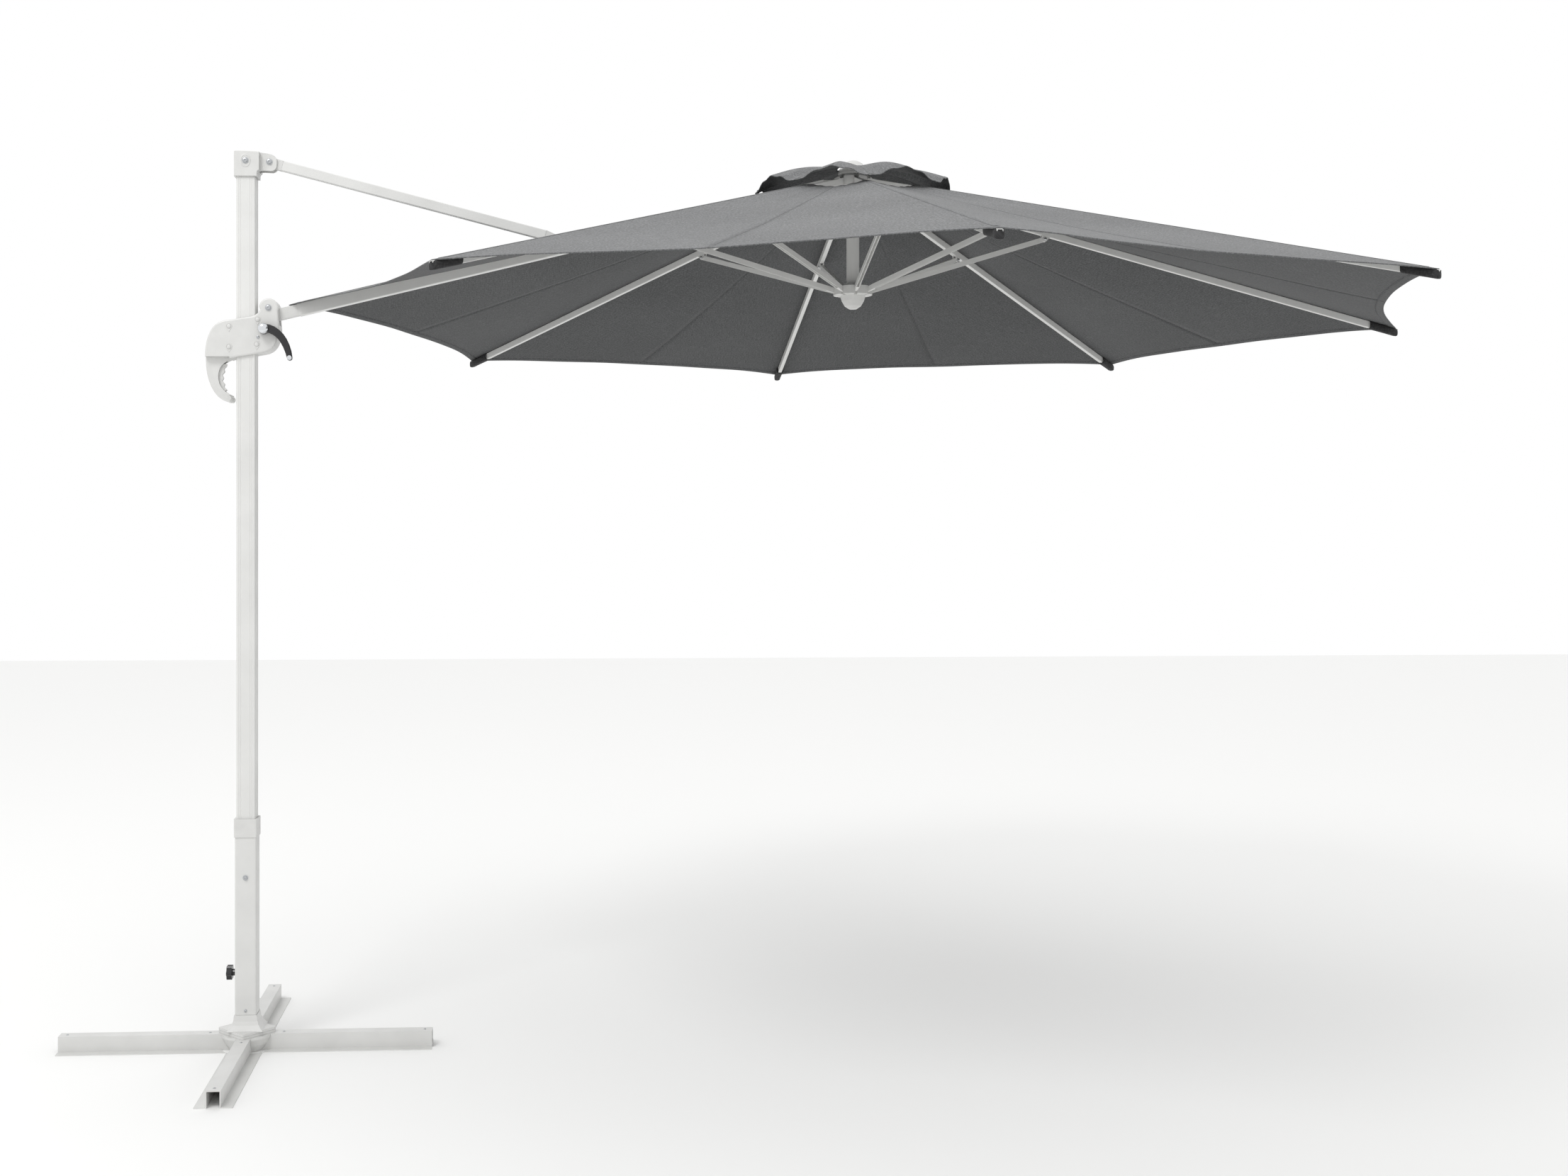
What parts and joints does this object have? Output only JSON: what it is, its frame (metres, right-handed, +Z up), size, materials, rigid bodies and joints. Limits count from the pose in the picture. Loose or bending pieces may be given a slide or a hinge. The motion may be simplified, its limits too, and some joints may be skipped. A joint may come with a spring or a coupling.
{
  "type": "cantilever parasol",
  "caption": "Octagonal canopy hung from a side mast by a braced arm, with crank slider, folding ribs and a cross base.",
  "frame": {"origin": "on the ground under the mast's axis, at the middle of the cross base", "axes": "+X from the mast towards the canopy, +Z up, +Y to the left seen along +X"},
  "size_m": [3.5955, 3.0046, 2.356],
  "materials": {
    "base_paint": "white powder coat on steel",
    "frame_paint": "white powder coat on aluminium",
    "white_plastic": "fine moulded texture",
    "black_plastic": "gloss",
    "zinc_steel": "zinc plated",
    "chrome": "polished",
    "rubber": "matt",
    "fabric": "woven polyester, water repellent"
  },
  "bodies": {
    "base": {"base_hub": "base_paint", "leg_right": "base_paint", "leg_back": "base_paint", "leg_left": "base_paint", "leg_front": "base_paint", "base_plate": "base_paint", "stub_tube": "zinc_steel"},
    "mast": {"stub_bush": "black_plastic", "pole_foot": "base_paint", "lower_pole": "base_paint", "pole_collar": "white_plastic", "pole_bolt": "zinc_steel", "mast_tube": "frame_paint", "mast_head": "white_plastic", "head_bolt": "zinc_steel", "strut_bolt": "zinc_steel"},
    "clamp_knob": {"clamp_stud": "zinc_steel", "clamp_knob": "black_plastic"},
    "strut": {"strut_tube": "frame_paint", "strut_heel": "white_plastic", "strut_tip": "white_plastic"},
    "arm": {"arm_tube": "frame_paint", "arm_heel": "white_plastic", "arm_saddle": "white_plastic", "saddle_bolt": "zinc_steel", "canopy_gore_8": "fabric"},
    "slider": {"slider_shell_front": "white_plastic", "slider_shell_back": "white_plastic", "arm_bolt": "zinc_steel"},
    "release_lever": {"release_lever": "white_plastic"},
    "brake_shoe": {"brake_shoe": "rubber"},
    "crank": {"cord_spool": "zinc_steel", "crank_handle": "black_plastic"},
    "crank_grip": {"crank_grip": "chrome"},
    "crown": {"crown_hub": "white_plastic", "crown_cap": "white_plastic", "post_tube": "frame_paint"},
    "lower_hub": {"lower_hub": "white_plastic"},
    "rib_1": {"rib_1": "frame_paint", "canopy_gore_1": "fabric"},
    "rib_2": {"rib_2": "frame_paint", "canopy_gore_2": "fabric"},
    "rib_3": {"rib_3": "frame_paint", "canopy_gore_3": "fabric"},
    "rib_4": {"rib_4": "frame_paint", "canopy_gore_4": "fabric"},
    "rib_5": {"rib_5": "frame_paint", "canopy_gore_5": "fabric"},
    "rib_6": {"rib_6": "frame_paint", "canopy_gore_6": "fabric"},
    "rib_7": {"rib_7": "frame_paint", "canopy_gore_7": "fabric"},
    "stretcher_1": {"stretcher_1": "frame_paint"},
    "stretcher_2": {"stretcher_2": "frame_paint"},
    "stretcher_3": {"stretcher_3": "frame_paint"},
    "stretcher_4": {"stretcher_4": "frame_paint"},
    "stretcher_5": {"stretcher_5": "frame_paint"},
    "stretcher_6": {"stretcher_6": "frame_paint"},
    "stretcher_7": {"stretcher_7": "frame_paint"},
    "stretcher_8": {"stretcher_8": "frame_paint"}
  },
  "joints": [
    {"name": "mast_swivel", "type": "hinge", "parent": "base", "child": "mast", "pos_m": [0, 0, 0], "axis": [0, 0, 1], "continuous": true},
    {"name": "clamp_knob_turn", "type": "hinge", "parent": "mast", "child": "clamp_knob", "pos_m": [-0.045, 0, 0.2], "axis": [-1, 0, 0], "range_deg": [0, 720]},
    {"name": "parasol_lift", "type": "hinge", "parent": "mast", "child": "strut", "pos_m": [0.06, 0, 2.33], "axis": [0, 1, 0], "range_deg": [-4, 72.2]},
    {"name": "arm_hinge", "type": "hinge", "parent": "strut", "child": "arm", "pos_m": [0.81794, 0, 2.1375], "axis": [0, 1, 0], "range_deg": [-144.4, 8]},
    {"name": "slider_hinge", "type": "hinge", "parent": "arm", "child": "slider", "pos_m": [0.06, 0, 1.945], "axis": [0, 1, 0], "range_deg": [-4, 72.2]},
    {"name": "release_lever_squeeze", "type": "hinge", "parent": "slider", "child": "release_lever", "pos_m": [-0.064, 0, 1.794], "axis": [0, 1, 0], "range_deg": [0, 5], "stiffness_Nm_per_rad": 2, "springref_deg": -17.19},
    {"name": "brake_shoe_slide", "type": "slide", "parent": "slider", "child": "brake_shoe", "axis": [-1, 0, 0], "range_m": [0, 0.003]},
    {"name": "crank_turn", "type": "hinge", "parent": "slider", "child": "crank", "pos_m": [0.0494, -0.037, 1.888], "axis": [0, -1, 0], "range_deg": [0, 3407.5]},
    {"name": "crank_grip_spin", "type": "hinge", "parent": "crank", "child": "crank_grip", "pos_m": [0.1174, -0.045, 1.812], "axis": [0, -1, 0], "continuous": true},
    {"name": "canopy_fold", "type": "hinge", "parent": "arm", "child": "crown", "pos_m": [1.56417, 0, 2.29402], "axis": [0, 1, 0], "range_deg": [0, 72.5], "deforming": ["canopy_gore_8"]},
    {"name": "rib_1_fold", "type": "hinge", "parent": "crown", "child": "rib_1", "pos_m": [1.57705, -0.03111, 2.29402], "axis": [0.7071, -0.7071, 0], "range_deg": [0, 72.5], "deforming": ["canopy_gore_1"]},
    {"name": "rib_2_fold", "type": "hinge", "parent": "crown", "child": "rib_2", "pos_m": [1.60817, -0.044, 2.29402], "axis": [1, 0, 0], "range_deg": [0, 72.5], "deforming": ["canopy_gore_2"]},
    {"name": "rib_3_fold", "type": "hinge", "parent": "crown", "child": "rib_3", "pos_m": [1.63928, -0.03111, 2.29402], "axis": [0.7071, 0.7071, 0], "range_deg": [0, 72.5], "deforming": ["canopy_gore_3"]},
    {"name": "rib_4_fold", "type": "hinge", "parent": "crown", "child": "rib_4", "pos_m": [1.65217, 0, 2.29402], "axis": [0, 1, 0], "range_deg": [0, 72.5], "deforming": ["canopy_gore_4"]},
    {"name": "rib_5_fold", "type": "hinge", "parent": "crown", "child": "rib_5", "pos_m": [1.63928, 0.03111, 2.29402], "axis": [-0.7071, 0.7071, 0], "range_deg": [0, 72.5], "deforming": ["canopy_gore_5"]},
    {"name": "rib_6_fold", "type": "hinge", "parent": "crown", "child": "rib_6", "pos_m": [1.60817, 0.044, 2.29402], "axis": [-1, 0, 0], "range_deg": [0, 72.5], "deforming": ["canopy_gore_6"]},
    {"name": "rib_7_fold", "type": "hinge", "parent": "crown", "child": "rib_7", "pos_m": [1.57705, 0.03111, 2.29402], "axis": [-0.7071, -0.7071, 0], "range_deg": [0, 72.5], "deforming": ["canopy_gore_7"]},
    {"name": "stretcher_1_hinge", "type": "hinge", "parent": "rib_1", "child": "stretcher_1", "pos_m": [1.23847, -0.3697, 2.14919], "axis": [0.7071, -0.7071, 0], "range_deg": [-145, 0]},
    {"name": "stretcher_2_hinge", "type": "hinge", "parent": "rib_2", "child": "stretcher_2", "pos_m": [1.60817, -0.52283, 2.14919], "axis": [1, 0, 0], "range_deg": [-145, 0]},
    {"name": "stretcher_3_hinge", "type": "hinge", "parent": "rib_3", "child": "stretcher_3", "pos_m": [1.97786, -0.3697, 2.14919], "axis": [0.7071, 0.7071, 0], "range_deg": [-145, 0]},
    {"name": "stretcher_4_hinge", "type": "hinge", "parent": "rib_4", "child": "stretcher_4", "pos_m": [2.131, 0, 2.14919], "axis": [0, 1, 0], "range_deg": [-145, 0]},
    {"name": "stretcher_5_hinge", "type": "hinge", "parent": "rib_5", "child": "stretcher_5", "pos_m": [1.97786, 0.3697, 2.14919], "axis": [-0.7071, 0.7071, 0], "range_deg": [-145, 0]},
    {"name": "stretcher_6_hinge", "type": "hinge", "parent": "rib_6", "child": "stretcher_6", "pos_m": [1.60817, 0.52283, 2.14919], "axis": [-1, 0, 0], "range_deg": [-145, 0]},
    {"name": "stretcher_7_hinge", "type": "hinge", "parent": "rib_7", "child": "stretcher_7", "pos_m": [1.23847, 0.3697, 2.14919], "axis": [-0.7071, -0.7071, 0], "range_deg": [-145, 0]},
    {"name": "stretcher_8_hinge", "type": "hinge", "parent": "arm", "child": "stretcher_8", "pos_m": [1.08533, 0, 2.14919], "axis": [0, 1, 0], "range_deg": [0, 145]},
    {"name": "lower_hub_hinge", "type": "hinge", "parent": "stretcher_8", "child": "lower_hub", "pos_m": [1.56417, 0, 2.00436], "axis": [0, 1, 0], "range_deg": [-72.5, 0]}
  ],
  "couplings": [
    {"joint": "arm_hinge", "follows": "parasol_lift", "ratio": -2},
    {"joint": "slider_hinge", "follows": "parasol_lift", "ratio": 1},
    {"joint": "brake_shoe_slide", "follows": "release_lever_squeeze", "m_per_rad": 0.03437},
    {"joint": "stretcher_8_hinge", "follows": "canopy_fold", "ratio": 2},
    {"joint": "lower_hub_hinge", "follows": "canopy_fold", "ratio": -1},
    {"joint": "crank_turn", "follows": "canopy_fold", "ratio": 47},
    {"joint": "rib_1_fold", "follows": "canopy_fold", "ratio": 1},
    {"joint": "stretcher_1_hinge", "follows": "canopy_fold", "ratio": -2},
    {"joint": "rib_2_fold", "follows": "canopy_fold", "ratio": 1},
    {"joint": "stretcher_2_hinge", "follows": "canopy_fold", "ratio": -2},
    {"joint": "rib_3_fold", "follows": "canopy_fold", "ratio": 1},
    {"joint": "stretcher_3_hinge", "follows": "canopy_fold", "ratio": -2},
    {"joint": "rib_4_fold", "follows": "canopy_fold", "ratio": 1},
    {"joint": "stretcher_4_hinge", "follows": "canopy_fold", "ratio": -2},
    {"joint": "rib_5_fold", "follows": "canopy_fold", "ratio": 1},
    {"joint": "stretcher_5_hinge", "follows": "canopy_fold", "ratio": -2},
    {"joint": "rib_6_fold", "follows": "canopy_fold", "ratio": 1},
    {"joint": "stretcher_6_hinge", "follows": "canopy_fold", "ratio": -2},
    {"joint": "rib_7_fold", "follows": "canopy_fold", "ratio": 1},
    {"joint": "stretcher_7_hinge", "follows": "canopy_fold", "ratio": -2}
  ]
}
